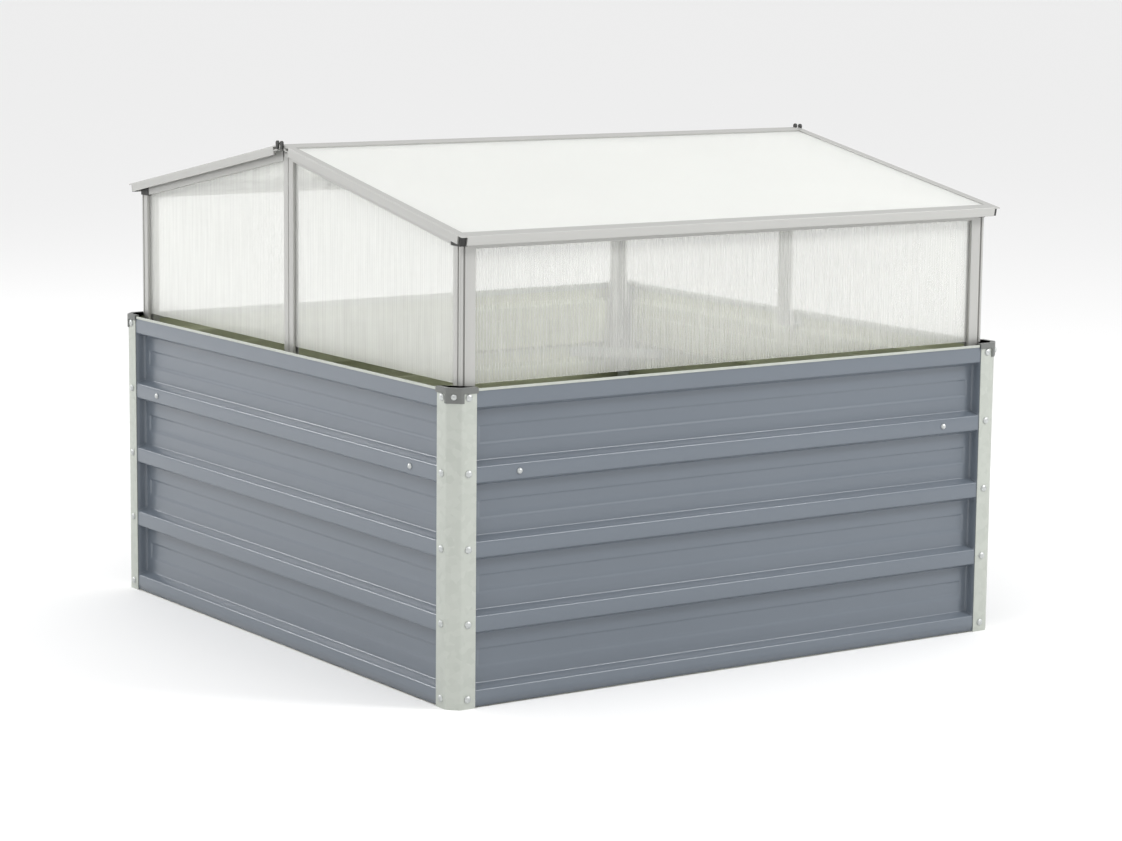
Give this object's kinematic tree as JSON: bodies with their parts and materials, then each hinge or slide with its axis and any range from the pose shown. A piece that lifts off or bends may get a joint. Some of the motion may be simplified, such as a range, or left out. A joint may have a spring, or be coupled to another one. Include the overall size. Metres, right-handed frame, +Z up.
{
  "type": "cold frame",
  "caption": "Raised garden bed of ribbed coated steel with a small twin-wall greenhouse standing in it, whose gable roof is a pair of lids that open at the ridge.",
  "frame": {"origin": "centre of the footprint at ground level", "axes": "+Z up, +X along the ridge to the right gable, +Y from the front eave to the back eave"},
  "size_m": [1.006, 1.006, 0.761],
  "materials": {
    "coated_steel": "matt grey coil coating on pressed steel sheet",
    "galvanised_steel": "bright zinc with a faint spangle",
    "zinc_screws": "bright zinc-plated screws and nuts",
    "mill_aluminium": "plain satin extrusions with fine drawing lines",
    "clear_twin_wall": "clear twin-wall polycarbonate with upright flutes",
    "opal_twin_wall": "opal twin-wall polycarbonate",
    "grey_plastic": "grey moulded caps",
    "black_plastic": "black moulded joints and plugs"
  },
  "bodies": {
    "frame": {"wall_panel_front": "coated_steel", "edge_trim_front": "galvanised_steel", "wall_panel_right": "coated_steel", "edge_trim_right": "galvanised_steel", "wall_panel_back": "coated_steel", "edge_trim_back": "galvanised_steel", "wall_panel_left": "coated_steel", "edge_trim_left": "galvanised_steel", "bed_post_front_left": "galvanised_steel", "post_cap_front_left": "grey_plastic", "corner_brace_front_left": "galvanised_steel", "house_post_front_left": "mill_aluminium", "gable_rafter_front_left": "mill_aluminium", "gable_pane_front_left": "clear_twin_wall", "bed_post_front_right": "galvanised_steel", "post_cap_front_right": "grey_plastic", "corner_brace_front_right": "galvanised_steel", "house_post_front_right": "mill_aluminium", "gable_rafter_front_right": "mill_aluminium", "gable_pane_front_right": "clear_twin_wall", "bed_post_back_right": "galvanised_steel", "post_cap_back_right": "grey_plastic", "corner_brace_back_right": "galvanised_steel", "house_post_back_right": "mill_aluminium", "gable_rafter_back_right": "mill_aluminium", "gable_pane_back_right": "clear_twin_wall", "bed_post_back_left": "galvanised_steel", "post_cap_back_left": "grey_plastic", "corner_brace_back_left": "galvanised_steel", "house_post_back_left": "mill_aluminium", "gable_rafter_back_left": "mill_aluminium", "gable_pane_back_left": "clear_twin_wall", "panel_screws": "zinc_screws", "panel_nuts": "zinc_screws", "cap_screws": "zinc_screws", "brace_fasteners": "zinc_screws", "gable_foot_brackets": "galvanised_steel", "ridge_beam": "mill_aluminium", "ridge_plugs": "black_plastic", "eave_connectors": "black_plastic", "gable_centre_post_left": "mill_aluminium", "gable_centre_post_right": "mill_aluminium", "side_pane_front": "clear_twin_wall", "eave_rail_front": "mill_aluminium", "side_pane_back": "clear_twin_wall", "eave_rail_back": "mill_aluminium"},
    "lid_front": {"lid_front_pane": "opal_twin_wall", "lid_front_ridge_rail": "mill_aluminium", "lid_front_eave_rail": "mill_aluminium", "lid_front_side_rails": "mill_aluminium", "lid_front_corner_pieces": "black_plastic", "prop_front_bracket": "mill_aluminium"},
    "prop_front": {"prop_front_bar": "mill_aluminium"},
    "lid_back": {"lid_back_pane": "opal_twin_wall", "lid_back_ridge_rail": "mill_aluminium", "lid_back_eave_rail": "mill_aluminium", "lid_back_side_rails": "mill_aluminium", "lid_back_corner_pieces": "black_plastic", "prop_back_bracket": "mill_aluminium"},
    "prop_back": {"prop_back_bar": "mill_aluminium"}
  },
  "joints": [
    {"name": "lid_front_hinge", "type": "hinge", "parent": "frame", "child": "lid_front", "pos_m": [0, -0.007, 0.751], "axis": [-1, 0, 0], "range_deg": [0, 80]},
    {"name": "prop_front_pivot", "type": "hinge", "parent": "lid_front", "child": "prop_front", "pos_m": [0.4486, -0.43691, 0.65607], "axis": [-1, 0, 0], "range_deg": [0, 100]},
    {"name": "lid_back_hinge", "type": "hinge", "parent": "frame", "child": "lid_back", "pos_m": [0, 0.007, 0.751], "axis": [1, 0, 0], "range_deg": [0, 80]},
    {"name": "prop_back_pivot", "type": "hinge", "parent": "lid_back", "child": "prop_back", "pos_m": [0.4486, 0.43691, 0.65607], "axis": [1, 0, 0], "range_deg": [0, 100]}
  ]
}
